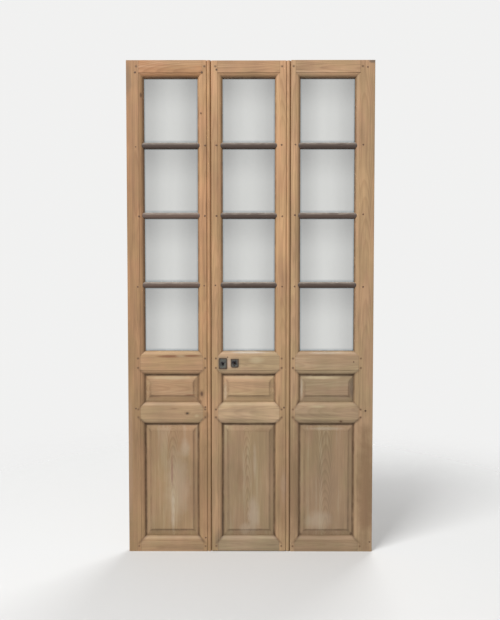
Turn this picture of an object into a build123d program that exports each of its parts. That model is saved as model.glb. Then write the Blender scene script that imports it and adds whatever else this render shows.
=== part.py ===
from build123d import *
import os
from math import atan2, cos, sin, sqrt, tan

os.makedirs("parts", exist_ok=True)

# Three glazed and panelled leaves stand side by side. X runs along the row, Y runs from the
# moulded front to the plain back, Z is up. The origin is at floor level, in the middle of the row.
# A depth is counted from the front faces of the leaves towards the back.

# Leaves
set_height = 2600.0
leaf_thickness = 36.0
left_leaf_width = 442.0
door_leaf_width = 416.0
right_leaf_width = 438.0
joint_gap = 2.0
door_foot_gap = 3.0
door_head_gap = 2.0

# Stile widths, from the edge of the leaf to where the moulding starts
left_outer_stile = 64.0
left_meeting_stile = 44.0
door_lock_stile = 33.0
door_hinge_stile = 56.0
right_meeting_stile = 24.0
right_outer_stile = 76.0

# Rail widths between their mouldings, and heights of the openings between the rails
bottom_rail_flat = 56.0
lower_opening = 604.0
middle_rail_flat = 67.0
frieze_opening = 145.0
lock_rail_flat = 76.0
top_rail_flat = 64.0

# Moulding that is stuck on the inner edges of the stiles and rails
moulding_width = 26.0
moulding_depth = 16.0
moulding_step = 2.0
moulding_lip = 2.0
moulding_drop = 1.0

# Panels
groove_front = 18.0
groove_width = 7.0
groove_depth = 11.0
panel_fit = 0.2
panel_play = 1.0
field_side_margin = 28.0
field_end_margin = 35.0
field_face_depth = 8.0
field_step = 1.5

# Glazing
rebate_front = 22.0
rebate_width = 10.0
bar_count = 3
bar_width = 32.0
bar_face_depth = 6.0
bar_fillet = 10.0
bar_shoulder = 13.0
bar_shoulder_depth = 9.5
bar_stub_length = 14.0
bar_stub_height = 12.0
bar_stub_front = 16.5
bar_stub_thickness = 5.0
glass_thickness = 3.0
glass_play = 1.0
putty_gap = 0.2
bead_thickness = 10.0

# Mortise and tenon joints
joint_fit = 0.1
tenon_front = 13.0
tenon_thickness = 10.0
tenon_shoulder = 8.0
outer_tenon = 45.0
meeting_tenon = 20.0
peg_width = 8.0
peg_setback = 11.0
middle_peg_spacing = 42.0
lock_peg_spacing = 50.0

# Meeting edges
edge_rebate = 12.0
edge_lip = 16.0
edge_lip_gap = 1.0
bead_radius = 11.0
quirk_width = 2.5
quirk_depth = 5.0
arris_chamfer = 1.5

# Lift-off hinges
hinge_from_end = 320.0
hinge_height = 110.0
knuckle_radius = 5.0
knuckle_gap = 0.5
knuckle_cap = 4.0
pin_radius = 2.5
pin_fit = 0.05
axis_behind_back = 5.5
flap_thickness = 2.0
flap_depth = 16.5
flap_fit = 0.05

# Rim lock on the back of the lock rail, with its keeper
keyhole_backset = 60.0
keyhole_above_frieze = 36.0
lock_case_length = 150.0
lock_case_height = 98.0
lock_case_thickness = 20.0
lock_case_wall = 2.0
lock_cap_thickness = 1.5
lock_cap_margin = 5.0
lock_fit = 0.3
bolt_travel = 16.0
bolt_length = 118.0
bolt_height = 24.0
bolt_thickness = 10.0
bolt_above_keyhole = 10.0
bolt_front_gap = 5.0
bolt_guide_width = 7.0
bolt_guide_setback = 92.0
bolt_notch_width = 9.0
bolt_notch_depth = 7.0
spring_thickness = 1.2
spring_width = 7.0
spring_span = 80.0
spring_foot = 18.0
nail_width = 4.4
nail_head = 9.0
nail_head_height = 2.0
nail_inset = 8.0
nail_bite = 12.0
nail_fit = 0.1
keeper_length = 40.0
keeper_height = 46.0
keeper_wall = 4.0
keeper_gap = 2.0
keyhole_radius = 5.0
keyhole_slot_width = 4.5
keyhole_slot_length = 15.0
key_slot_width = 10.0
key_slot_height = 26.0
keyhole_plate_width = 44.0
keyhole_plate_height = 59.0
pull_backset = 122.0
pull_above_keyhole = 2.0
pull_plate_width = 42.0
pull_plate_height = 46.0
pull_plate_taper = 6.0
pull_hole_width = 10.0
pull_hole_depth = 28.0
plate_thickness = 1.5
plate_corner = 3.0

# Places that follow from the sizes above
front_y = -leaf_thickness / 2
overall_width = left_leaf_width + door_leaf_width + right_leaf_width + 2 * joint_gap
left_leaf_x = -overall_width / 2
door_leaf_x = left_leaf_x + left_leaf_width + joint_gap
right_leaf_x = door_leaf_x + door_leaf_width + joint_gap
right_end_x = overall_width / 2

lower_flats = (bottom_rail_flat, bottom_rail_flat + lower_opening + 2 * moulding_width)
frieze_bottom_flat = lower_flats[1] + middle_rail_flat
frieze_flats = (frieze_bottom_flat, frieze_bottom_flat + frieze_opening + 2 * moulding_width)
glazed_flats = (frieze_flats[1] + lock_rail_flat, set_height - top_rail_flat)
glazed_opening = glazed_flats[1] - glazed_flats[0] - 2 * moulding_width

pane_height = (glazed_opening - bar_count * bar_width) / (bar_count + 1)
pane_bottoms = [
    glazed_flats[0] + moulding_width + i * (pane_height + bar_width)
    for i in range(bar_count + 1)
]
bar_heights = [bottom - bar_width / 2 for bottom in pane_bottoms[1:]]


def at_depth(depth):
    """The Y of a point that lies this far behind the front faces."""
    return front_y + depth


def upright(depth):
    """An upright plane across the row at a depth, with X to the right and Z up."""
    return Plane.XZ.offset(-at_depth(depth))


class Leaf:
    """One leaf: its outer edges, and where its stiles give way to the moulding."""

    def __init__(self, name, left, width, left_stile, right_stile, foot, head):
        self.name = name
        self.left = left
        self.right = left + width
        self.left_flat = self.left + left_stile
        self.right_flat = self.right - right_stile
        self.foot = foot
        self.head = head

    def opening(self, flats):
        """An opening, out to where its moulding starts: left, right, bottom, top."""
        return self.left_flat, self.right_flat, flats[0], flats[1]


left_leaf = Leaf(
    "left", left_leaf_x, left_leaf_width, left_outer_stile, left_meeting_stile, 0, set_height
)
door_leaf = Leaf(
    "door",
    door_leaf_x,
    door_leaf_width,
    door_lock_stile,
    door_hinge_stile,
    door_foot_gap,
    set_height - door_head_gap,
)
right_leaf = Leaf(
    "right", right_leaf_x, right_leaf_width, right_meeting_stile, right_outer_stile, 0, set_height
)
leaves = (left_leaf, door_leaf, right_leaf)


def tenon_length(leaf, side):
    """Tenons are long in the outer stiles and short in the meeting stiles."""
    outer = (leaf is left_leaf and side == "left") or (leaf is right_leaf and side == "right")
    return outer_tenon if outer else meeting_tenon


def keep(part, name):
    """Labels a finished piece and writes it out."""
    part.label = name
    export_step(part, f"parts/{name}.step")


# Runs of one section around a rectangle, mitred at the corners. Seen from the front they go
# clockwise: up the left side, along the top, down the right side and back along the bottom.
run_directions = {
    "left": (Vector(1, 0, 0), Vector(0, 0, 1)),
    "top": (Vector(0, 0, -1), Vector(1, 0, 0)),
    "right": (Vector(-1, 0, 0), Vector(0, 0, -1)),
    "bottom": (Vector(0, 0, 1), Vector(-1, 0, 0)),
}


def mitred_run(rectangle, side, section, width):
    """One side of a mitred surround. The section lies with X inwards and Y towards the back."""
    left, right, bottom, top = rectangle
    inward, run = run_directions[side]
    corners = {"left": (left, bottom), "top": (left, top), "right": (right, top), "bottom": (right, bottom)}
    start = Vector(corners[side][0], front_y, corners[side][1])
    length = top - bottom if side in ("left", "right") else right - left
    with BuildPart() as strip:
        with BuildSketch(Plane(start, x_dir=inward, z_dir=run)):
            add(section)
        extrude(amount=length)
        with BuildSketch(Plane(start, x_dir=inward, z_dir=inward.cross(run))):
            with BuildLine():
                Polyline((0, 0), (width, width), (width, length - width), (0, length), close=True)
            make_face()
        extrude(amount=-leaf_thickness, mode=Mode.INTERSECT)
    return strip.part


def moulded_face():
    """The ovolo of the moulding over its full thickness, before the back is worked."""
    curve_end = moulding_width - moulding_lip
    curve_depth = moulding_depth - moulding_drop
    with BuildSketch() as face:
        with BuildLine():
            Line((0, leaf_thickness), (0, moulding_step))
            TangentArc((0, moulding_step), (curve_end, curve_depth), tangent=(1, 0))
            Polyline(
                (curve_end, curve_depth),
                (curve_end, moulding_depth),
                (moulding_width, moulding_depth),
                (moulding_width, leaf_thickness),
                (0, leaf_thickness),
            )
        make_face()
    return face.sketch


def grooved_section(face):
    """The moulded edge with the groove that holds a panel."""
    with BuildSketch() as section:
        add(face)
        with Locations((moulding_width - groove_depth / 2, groove_front + groove_width / 2)):
            Rectangle(groove_depth, groove_width, mode=Mode.SUBTRACT)
    return section.sketch


def rebated_section(face):
    """The moulded edge with the rebate at the back that holds the glass."""
    rebate_depth = leaf_thickness - rebate_front
    with BuildSketch() as section:
        add(face)
        with Locations((moulding_width - rebate_width / 2, leaf_thickness - rebate_depth / 2)):
            Rectangle(rebate_width, rebate_depth, mode=Mode.SUBTRACT)
    return section.sketch


ovolo = moulded_face()
panel_edge = grooved_section(ovolo)
glass_edge = rebated_section(ovolo)


def square_edge(outer, flat):
    """Plan of a stile with a square outer edge."""
    inward = 1 if flat > outer else -1
    with BuildSketch() as plan:
        with BuildLine():
            Polyline(
                (outer + inward * arris_chamfer, at_depth(0)),
                (flat, at_depth(0)),
                (flat, at_depth(leaf_thickness)),
                (outer, at_depth(leaf_thickness)),
                (outer, at_depth(arris_chamfer)),
                close=True,
            )
        make_face()
    return plan.sketch


def beaded_edge(flat, outer):
    """Plan of a stile whose front lip carries a bead and covers the next leaf's rebate."""
    bead_start = outer - 2 * bead_radius
    below_centre = bead_radius - quirk_depth
    quirk_end = outer - bead_radius - sqrt(bead_radius**2 - below_centre**2)
    with BuildSketch() as plan:
        with BuildLine():
            Polyline(
                (outer, at_depth(bead_radius)),
                (outer, at_depth(edge_lip)),
                (outer - edge_rebate, at_depth(edge_lip)),
                (outer - edge_rebate, at_depth(leaf_thickness)),
                (flat, at_depth(leaf_thickness)),
                (flat, at_depth(0)),
                (bead_start - quirk_width, at_depth(0)),
                (bead_start - quirk_width, at_depth(quirk_depth)),
                (quirk_end, at_depth(quirk_depth)),
            )
            ThreePointArc(
                (quirk_end, at_depth(quirk_depth)),
                (outer - bead_radius, at_depth(0)),
                (outer, at_depth(bead_radius)),
            )
        make_face()
    return plan.sketch


def rebated_edge(outer, flat):
    """Plan of a stile whose back tongue reaches behind the beaded lip of the next leaf."""
    tongue_front = edge_lip + edge_lip_gap
    with BuildSketch() as plan:
        with BuildLine():
            Polyline(
                (outer + arris_chamfer, at_depth(0)),
                (flat, at_depth(0)),
                (flat, at_depth(leaf_thickness)),
                (outer - edge_rebate, at_depth(leaf_thickness)),
                (outer - edge_rebate, at_depth(tongue_front)),
                (outer, at_depth(tongue_front)),
                (outer, at_depth(arris_chamfer)),
                close=True,
            )
        make_face()
    return plan.sketch


# Rails: where the flat face starts and ends, and what its lower and upper edges frame
rails = {
    "bottom_rail": (None, lower_flats[0], None, "panel"),
    "middle_rail": (lower_flats[1], frieze_flats[0], "panel", "panel"),
    "lock_rail": (frieze_flats[1], glazed_flats[0], "panel", "glass"),
    "top_rail": (glazed_flats[1], None, "glass", None),
}
edge_sections = {"panel": panel_edge, "glass": glass_edge}


def rail_span(leaf, rail):
    """Lowest and highest edge of a rail's flat face."""
    low, high, _, _ = rails[rail]
    return (leaf.foot if low is None else low, leaf.head if high is None else high)


def tenon_span(leaf, rail):
    """Lowest and highest edge of a rail's tenon."""
    low, high = rail_span(leaf, rail)
    return low + tenon_shoulder, high - tenon_shoulder


def peg_heights(leaf, rail):
    """Heights of the pegs through one tenon."""
    low, high = tenon_span(leaf, rail)
    middle = (low + high) / 2
    spacing = {"middle_rail": middle_peg_spacing, "lock_rail": lock_peg_spacing}.get(rail)
    return [middle] if spacing is None else [middle - spacing / 2, middle + spacing / 2]


def peg_places(leaf, side):
    """Centres of the pegs in one stile, seen from the front."""
    x = leaf.left_flat - peg_setback if side == "left" else leaf.right_flat + peg_setback
    return [(x, z) for rail in rails for z in peg_heights(leaf, rail)]


def stile(leaf, side):
    """An upright: moulded beside each opening, and mortised for the rails and bars."""
    on_left = side == "left"
    flat = leaf.left_flat if on_left else leaf.right_flat
    outer = leaf.left if on_left else leaf.right
    if on_left:
        plan = square_edge(outer, flat) if leaf is left_leaf else rebated_edge(outer, flat)
    else:
        plan = square_edge(outer, flat) if leaf is right_leaf else beaded_edge(flat, outer)
    strips = [
        mitred_run(leaf.opening(lower_flats), side, panel_edge, moulding_width),
        mitred_run(leaf.opening(frieze_flats), side, panel_edge, moulding_width),
        mitred_run(leaf.opening(glazed_flats), side, glass_edge, moulding_width),
    ]
    outwards = -1 if on_left else 1
    reach = tenon_length(leaf, side) + joint_fit
    sight = flat - outwards * moulding_width
    with BuildPart() as upright_board:
        with BuildSketch(Plane.XY.offset(leaf.foot)):
            add(plan)
        extrude(amount=leaf.head - leaf.foot)
        add(strips)
        # Mortises for the rails
        with BuildSketch(upright(tenon_front - joint_fit)):
            for rail in rails:
                low, high = tenon_span(leaf, rail)
                with Locations((flat + outwards * reach / 2, (low + high) / 2)):
                    Rectangle(reach, high - low + 2 * joint_fit)
        extrude(amount=-(tenon_thickness + 2 * joint_fit), mode=Mode.SUBTRACT)
        # Mortises for the glazing bars
        with BuildSketch(upright(bar_stub_front - joint_fit)):
            for z in bar_heights:
                with Locations((sight + outwards * (bar_stub_length + joint_fit) / 2, z)):
                    Rectangle(bar_stub_length + joint_fit, bar_stub_height + 2 * joint_fit)
        extrude(amount=-(bar_stub_thickness + 2 * joint_fit), mode=Mode.SUBTRACT)
        # Peg holes, right through
        with BuildSketch(upright(0)):
            with Locations(*peg_places(leaf, side)):
                Rectangle(peg_width + 2 * joint_fit, peg_width + 2 * joint_fit)
        extrude(amount=-leaf_thickness, mode=Mode.SUBTRACT)
    return upright_board.part


def rail_board(leaf, rail):
    """A crosspiece: shouldered between the stiles, with tenons and mitred mouldings."""
    _, _, below, above = rails[rail]
    low, high = rail_span(leaf, rail)
    tenon_low, tenon_high = tenon_span(leaf, rail)
    strips = []
    openings = [leaf.opening(flats) for flats in (lower_flats, frieze_flats, glazed_flats)]
    if below:
        opening = next(o for o in openings if o[3] == low)
        strips.append(mitred_run(opening, "top", edge_sections[below], moulding_width))
    if above:
        opening = next(o for o in openings if o[2] == high)
        strips.append(mitred_run(opening, "bottom", edge_sections[above], moulding_width))
    left, right = leaf.left_flat + joint_fit, leaf.right_flat - joint_fit
    left_tenon, right_tenon = tenon_length(leaf, "left"), tenon_length(leaf, "right")
    tenon_left = leaf.left_flat - left_tenon + joint_fit
    tenon_right = leaf.right_flat + right_tenon - joint_fit
    pegs = [
        (x, z)
        for x in (leaf.left_flat - peg_setback, leaf.right_flat + peg_setback)
        for z in peg_heights(leaf, rail)
    ]
    with BuildPart() as board:
        with BuildSketch(upright(0)):
            with Locations(((left + right) / 2, (low + high) / 2)):
                Rectangle(right - left, high - low)
        extrude(amount=-leaf_thickness)
        add(strips)
        with BuildSketch(upright(tenon_front)):
            with Locations(((tenon_left + tenon_right) / 2, (tenon_low + tenon_high) / 2)):
                Rectangle(tenon_right - tenon_left, tenon_high - tenon_low)
        extrude(amount=-tenon_thickness)
        with BuildSketch(upright(0)):
            with Locations(*pegs):
                Rectangle(peg_width + 2 * joint_fit, peg_width + 2 * joint_fit)
        extrude(amount=-leaf_thickness, mode=Mode.SUBTRACT)
    return board.part


def bar_section():
    """Section of a glazing bar: sloped on both sides in front, with a fin between the panes."""
    half = bar_width / 2
    fillet_half = bar_fillet / 2
    fin_half = half - rebate_width
    with BuildSketch() as section:
        with BuildLine():
            Polyline(
                (at_depth(bar_face_depth), -fillet_half),
                (at_depth(bar_face_depth), fillet_half),
                (at_depth(bar_shoulder_depth), bar_shoulder),
                (at_depth(moulding_depth), half),
                (at_depth(rebate_front), half),
                (at_depth(rebate_front), fin_half),
                (at_depth(leaf_thickness), fin_half),
                (at_depth(leaf_thickness), -fin_half),
                (at_depth(rebate_front), -fin_half),
                (at_depth(rebate_front), -half),
                (at_depth(moulding_depth), -half),
                (at_depth(bar_shoulder_depth), -bar_shoulder),
                close=True,
            )
        make_face()
    return section.sketch


bar_profile = bar_section()


def coping_cut():
    """What a bar's end gives up to the moulding: three flats that follow the curve, and the rest."""
    curve_end = moulding_width - moulding_lip
    curve_rise = moulding_depth - moulding_drop - moulding_step
    turn = 2 * atan2(curve_rise, curve_end)
    radius = curve_end / sin(turn)
    flat = radius * tan(turn / 4)
    fin = moulding_width - rebate_width
    with BuildSketch() as cut:
        Polygon(
            (0, moulding_step),
            (flat, moulding_step),
            (curve_end - flat * cos(turn), moulding_step + curve_rise - flat * sin(turn)),
            (curve_end, moulding_step + curve_rise),
            (curve_end, moulding_depth),
            (moulding_width, moulding_depth),
            (moulding_width, rebate_front),
            (fin, rebate_front),
            (fin, leaf_thickness),
            (0, leaf_thickness),
            align=None,
        )
        offset(amount=joint_fit, kind=Kind.INTERSECTION)
    return cut.sketch


cope = coping_cut()


def glazing_bar(leaf, z):
    """A bar between two panes, coped over the moulding of both stiles, with stub tenons."""
    length = leaf.right_flat - leaf.left_flat - 2 * joint_fit
    middle = (leaf.left_flat + leaf.right_flat) / 2
    stub_half = length / 2 - moulding_width + bar_stub_length
    with BuildPart() as bar:
        with BuildSketch(Plane.YZ.offset(middle - length / 2)):
            with Locations((0, z)):
                add(bar_profile)
        extrude(amount=length)
        for flat, inward, run in (
            (leaf.left_flat, Vector(1, 0, 0), Vector(0, 0, 1)),
            (leaf.right_flat, Vector(-1, 0, 0), Vector(0, 0, -1)),
        ):
            start = Vector(flat, front_y, z) - run * bar_width
            with BuildSketch(Plane(start, x_dir=inward, z_dir=run)):
                add(cope)
            extrude(amount=2 * bar_width, mode=Mode.SUBTRACT)
        with BuildSketch(upright(bar_stub_front)):
            with Locations((middle, z)):
                Rectangle(2 * stub_half, bar_stub_height)
        extrude(amount=-bar_stub_thickness)
    return bar.part


def panel_profile(size, edge, margin):
    """Half of a panel's section, from its middle to its edge, with X across and Y in depth."""
    half = size / 2
    tongue_front = at_depth(groove_front + panel_fit)
    tongue_back = at_depth(groove_front + groove_width - panel_fit)
    return [
        (half - margin, at_depth(field_face_depth)),
        (half - margin, at_depth(field_face_depth + field_step)),
        (half, tongue_front),
        (half + edge, tongue_front),
        (half + edge, tongue_back),
    ]


def raised_panel(leaf, flats):
    """A loose panel: a thin edge in the grooves, sloping margins and a raised field."""
    left, right, bottom, top = leaf.opening(flats)
    width = right - left - 2 * moulding_width
    height = top - bottom - 2 * moulding_width
    centre = ((left + right) / 2, (bottom + top) / 2)
    edge = groove_depth - panel_play
    across = panel_profile(width, edge, field_side_margin)
    along = panel_profile(height, edge, field_end_margin)
    with BuildPart() as panel:
        with BuildSketch(Plane.XY.offset(centre[1] - height / 2 - edge)):
            with Locations((centre[0], 0)):
                Polygon(*across, *[(-x, y) for x, y in reversed(across)], align=None)
        extrude(amount=height + 2 * edge)
        with BuildSketch(Plane.YZ.offset(centre[0] - width / 2 - edge)):
            with Locations((0, centre[1])):
                Polygon(*[(y, z) for z, y in along], *[(y, -z) for z, y in reversed(along)], align=None)
        extrude(amount=width + 2 * edge, mode=Mode.INTERSECT)
    return panel.part


def panes(leaf):
    """The sheets of glass, one in each rebated opening."""
    overlap = 2 * (rebate_width - glass_play)
    width = leaf.right_flat - leaf.left_flat - 2 * moulding_width + overlap
    middle = (leaf.left_flat + leaf.right_flat) / 2
    with BuildPart() as glass:
        with BuildSketch(upright(rebate_front + putty_gap)):
            for bottom in pane_bottoms:
                with Locations((middle, bottom + pane_height / 2)):
                    Rectangle(width, pane_height + overlap)
        extrude(amount=-glass_thickness)
    return glass.part


# Section of the beads that hold a pane from behind, with X away from the rebate's wall
with BuildSketch() as bead_outline:
    with Locations((rebate_width / 2, rebate_front + glass_thickness + 2 * putty_gap + bead_thickness / 2)):
        Rectangle(rebate_width, bead_thickness)
bead_profile = bead_outline.sketch


def glazing_beads(leaf):
    """Four mitred beads behind each pane."""
    left = leaf.left_flat + moulding_width - rebate_width + joint_fit
    right = leaf.right_flat - moulding_width + rebate_width - joint_fit
    strips = []
    for bottom in pane_bottoms:
        low = bottom - rebate_width + joint_fit
        high = bottom + pane_height + rebate_width - joint_fit
        for side in run_directions:
            strips.append(mitred_run((left, right, low, high), side, bead_profile, rebate_width))
    return Compound(children=strips)


def pegs(leaf):
    """The pegs that lock the tenons."""
    places = peg_places(leaf, "left") + peg_places(leaf, "right")
    with BuildPart() as peg_set:
        with BuildSketch(upright(0)):
            with Locations(*places):
                Rectangle(peg_width, peg_width)
        extrude(amount=-leaf_thickness)
    return peg_set.part


# Hinge line, on the joint between the door and the right leaf at the back
hinge_x = door_leaf.right - edge_rebate + joint_gap / 2
hinge_y = at_depth(leaf_thickness + axis_behind_back)
flap_front = leaf_thickness - flap_depth
hinge_heights = (hinge_from_end, set_height / 2, set_height - hinge_from_end)
knuckle_height = (hinge_height - knuckle_gap) / 2
pin_length = knuckle_gap + knuckle_height - knuckle_cap - pin_fit


def flap_recesses(side):
    """Recesses for the flaps, in the edge of a stile."""
    outwards = -1 if side == "door" else 1
    edge = hinge_x + outwards * joint_gap / 2
    with BuildPart() as recess:
        with BuildSketch(Plane.XY):
            with Locations((edge + outwards * flap_thickness / 2, at_depth(flap_front + flap_depth / 2))):
                Rectangle(flap_thickness, flap_depth)
        extrude(amount=hinge_height + 2 * joint_fit)
    low = [z - hinge_height / 2 - joint_fit for z in hinge_heights]
    return [recess.part.moved(Location((0, 0, z))) for z in low]


def hinge_leaf(side, z, knuckle_low):
    """A flap let into the edge of a stile, with a solid knuckle on the hinge line."""
    outwards = -1 if side == "door" else 1
    edge = hinge_x + outwards * joint_gap / 2
    flap_back = at_depth(leaf_thickness)
    flap_start = at_depth(flap_front) + joint_fit
    thickness = flap_thickness - flap_fit
    with BuildPart() as flap:
        with BuildSketch(Plane.XY.offset(z - hinge_height / 2)):
            with Locations((edge + outwards * thickness / 2, (flap_start + flap_back) / 2)):
                Rectangle(thickness, flap_back - flap_start)
        extrude(amount=hinge_height)
        with BuildSketch(Plane.XY.offset(knuckle_low)):
            with Locations((hinge_x, hinge_y)):
                Circle(knuckle_radius)
            with Locations((edge + outwards * thickness / 2, (flap_back + hinge_y) / 2)):
                Rectangle(thickness, hinge_y - flap_back)
        extrude(amount=knuckle_height)
    return flap.part


def hinge_fixed_flap(z):
    """The lower half of a lift-off hinge, with the pin fixed in its knuckle."""
    low = z - hinge_height / 2
    leaf_half = hinge_leaf("frame", z, low)
    with BuildPart() as flap:
        add(leaf_half)
        with BuildSketch(Plane.XY.offset(low + knuckle_height)):
            with Locations((hinge_x, hinge_y)):
                Circle(pin_radius)
        extrude(amount=pin_length)
    return flap.part


def hinge_door_flap(z):
    """The upper half of a lift-off hinge, bored from below for the pin."""
    low = z + knuckle_gap / 2
    leaf_half = hinge_leaf("door", z, low)
    with BuildPart() as flap:
        add(leaf_half)
        with BuildSketch(Plane.XY.offset(low)):
            with Locations((hinge_x, hinge_y)):
                Circle(pin_radius + pin_fit)
        extrude(amount=knuckle_height - knuckle_cap, mode=Mode.SUBTRACT)
    return flap.part


# Lock places
lock_height = frieze_flats[1] + keyhole_above_frieze
door_back_edge = door_leaf.left - edge_rebate
keyhole_x = door_leaf.left + keyhole_backset
pull_x = door_leaf.left + pull_backset
pull_height = lock_height + pull_above_keyhole
case_left = door_back_edge
case_right = case_left + lock_case_length
case_low = lock_height - lock_case_height / 2
case_high = lock_height + lock_case_height / 2
case_back = leaf_thickness + lock_case_thickness
bolt_low = lock_height + bolt_above_keyhole
bolt_middle = bolt_low + bolt_height / 2
bolt_front = leaf_thickness + bolt_front_gap
bolt_left = case_left + lock_fit
guide_x = bolt_left + bolt_guide_setback
nail_places = [
    (x, z)
    for x in (case_left + nail_inset, case_right - nail_inset)
    for z in (case_low + nail_inset, case_high - nail_inset)
]


def nail_holes():
    """Holes for the lock's nails, from the back."""
    with BuildPart() as holes:
        with BuildSketch(upright(leaf_thickness)):
            with Locations(*nail_places):
                Rectangle(nail_width + 2 * nail_fit, nail_width + 2 * nail_fit)
        extrude(amount=nail_bite + nail_fit)
    return holes.part


# The keyhole: round above, with a slot below for the bit
with BuildSketch() as keyhole_outline:
    with Locations((keyhole_x, lock_height)):
        Circle(keyhole_radius)
    with Locations((keyhole_x, lock_height - keyhole_slot_length / 2)):
        Rectangle(keyhole_slot_width, keyhole_slot_length)
keyhole = keyhole_outline.sketch

# The slot for the key behind the plate, as high as the keyhole and a little more
key_slot_middle = lock_height + keyhole_radius + joint_fit - key_slot_height / 2
with BuildSketch() as slot_outline:
    with Locations((keyhole_x, key_slot_middle)):
        Rectangle(key_slot_width, key_slot_height)
key_slot = slot_outline.sketch


def door_lock_rail():
    """The door's lock rail, bored for the key and for the lost pull."""
    board = rail_board(door_leaf, "lock_rail")
    holes = nail_holes()
    with BuildPart() as rail:
        add(board)
        with BuildSketch(upright(0)):
            add(key_slot)
        extrude(amount=-leaf_thickness, mode=Mode.SUBTRACT)
        with BuildSketch(upright(0)):
            with Locations((pull_x, pull_height)):
                Rectangle(pull_hole_width, pull_hole_width)
        extrude(amount=-pull_hole_depth, mode=Mode.SUBTRACT)
        add(holes, mode=Mode.SUBTRACT)
    return rail.part


def door_lock_stile_board():
    """The door's lock stile, with holes for the lock's nails."""
    board = stile(door_leaf, "left")
    holes = nail_holes()
    with BuildPart() as upright_board:
        add(board)
        add(holes, mode=Mode.SUBTRACT)
    return upright_board.part


def hinge_stile_board(leaf, side, hinge_side):
    """A stile with recesses for the hinge flaps."""
    board = stile(leaf, side)
    recesses = flap_recesses(hinge_side)
    with BuildPart() as upright_board:
        add(board)
        add(recesses, mode=Mode.SUBTRACT)
    return upright_board.part


def lock_case():
    """The iron box of the rim lock: face, four walls and a stud that guides the bolt."""
    inside = lock_case_thickness - lock_case_wall
    middle = ((case_left + case_right) / 2, lock_height)
    guide_length = inside - lock_cap_thickness - lock_fit
    with BuildPart() as case:
        with BuildSketch(upright(leaf_thickness)):
            with Locations(middle):
                Rectangle(lock_case_length, lock_case_height)
        extrude(amount=-lock_case_thickness)
        with BuildSketch(upright(leaf_thickness)):
            with Locations(middle):
                Rectangle(lock_case_length - 2 * lock_case_wall, lock_case_height - 2 * lock_case_wall)
        extrude(amount=-inside, mode=Mode.SUBTRACT)
        with BuildSketch(upright(case_back - lock_case_wall)):
            with Locations((guide_x, bolt_middle)):
                Rectangle(bolt_guide_width, bolt_guide_width)
        extrude(amount=guide_length)
        with BuildSketch(upright(leaf_thickness)):
            with Locations(*nail_places):
                Rectangle(nail_width + 2 * nail_fit, nail_width + 2 * nail_fit)
        extrude(amount=-lock_case_thickness, mode=Mode.SUBTRACT)
        with BuildSketch(Plane.YZ.offset(case_left)):
            with Locations((at_depth(bolt_front + bolt_thickness / 2), bolt_middle)):
                Rectangle(bolt_thickness + 2 * lock_fit, bolt_height + 2 * lock_fit)
        extrude(amount=lock_case_wall, mode=Mode.SUBTRACT)
    return case.part


def lock_cap():
    """The plate behind the bolt, against the wood, between the rows of nails."""
    width = lock_case_length - 2 * (lock_case_wall + lock_fit)
    low = key_slot_middle - key_slot_height / 2 - lock_cap_margin
    high = bolt_low + bolt_height
    with BuildPart() as cap:
        with BuildSketch(upright(leaf_thickness)):
            with Locations(((case_left + case_right) / 2, (low + high) / 2)):
                Rectangle(width, high - low)
            add(key_slot, mode=Mode.SUBTRACT)
        extrude(amount=-lock_cap_thickness)
    return cap.part


def lock_bolt():
    """The bolt: a bar with a guide slot and two notches that the key's bit turns in."""
    slot_height = bolt_guide_width + 2 * lock_fit
    notch_x = keyhole_x + bolt_travel / 2
    with BuildPart() as bolt:
        with BuildSketch(upright(bolt_front)):
            with Locations((bolt_left + bolt_length / 2, bolt_middle)):
                Rectangle(bolt_length, bolt_height)
            with Locations((guide_x + bolt_travel / 2, bolt_middle)):
                Rectangle(slot_height + bolt_travel, slot_height, mode=Mode.SUBTRACT)
            with Locations(
                (notch_x - bolt_travel / 2, bolt_low + bolt_notch_depth / 2),
                (notch_x + bolt_travel / 2, bolt_low + bolt_notch_depth / 2),
            ):
                Rectangle(bolt_notch_width, bolt_notch_depth, mode=Mode.SUBTRACT)
        extrude(amount=-bolt_thickness)
    return bolt.part


def bolt_spring():
    """A bent leaf spring: a flat foot under the case's upper wall, and a leg down to the bolt."""
    foot_z = case_high - lock_case_wall - lock_fit - spring_thickness / 2
    tip_z = bolt_low + bolt_height + lock_fit + spring_thickness / 2
    foot_x = bolt_left + bolt_length - nail_inset
    spring_front = bolt_front + (bolt_thickness - spring_width) / 2
    with BuildPart() as spring:
        with BuildSketch(upright(spring_front)):
            with BuildLine():
                Polyline(
                    (foot_x, foot_z),
                    (foot_x - spring_foot, foot_z),
                    (foot_x - spring_span + spring_foot, tip_z),
                    (foot_x - spring_span, tip_z),
                )
            trace(line_width=spring_thickness)
        extrude(amount=-spring_width)
    return spring.part


def lock_nails():
    """Four square nails through the case into the wood."""
    with BuildPart() as nails:
        with BuildSketch(upright(leaf_thickness - nail_bite)):
            with Locations(*nail_places):
                Rectangle(nail_width, nail_width)
        extrude(amount=-(nail_bite + lock_case_thickness))
        with BuildSketch(upright(case_back)):
            with Locations(*nail_places):
                Rectangle(nail_head, nail_head)
        extrude(amount=-nail_head_height)
    return nails.part


keeper_right = left_leaf.right - edge_rebate - keeper_gap
keeper_left = keeper_right - keeper_length
pocket_depth = keeper_length - keeper_wall
pocket_thickness = lock_case_thickness - 2 * keeper_wall
pocket_height = keeper_height - 2 * keeper_wall


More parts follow.
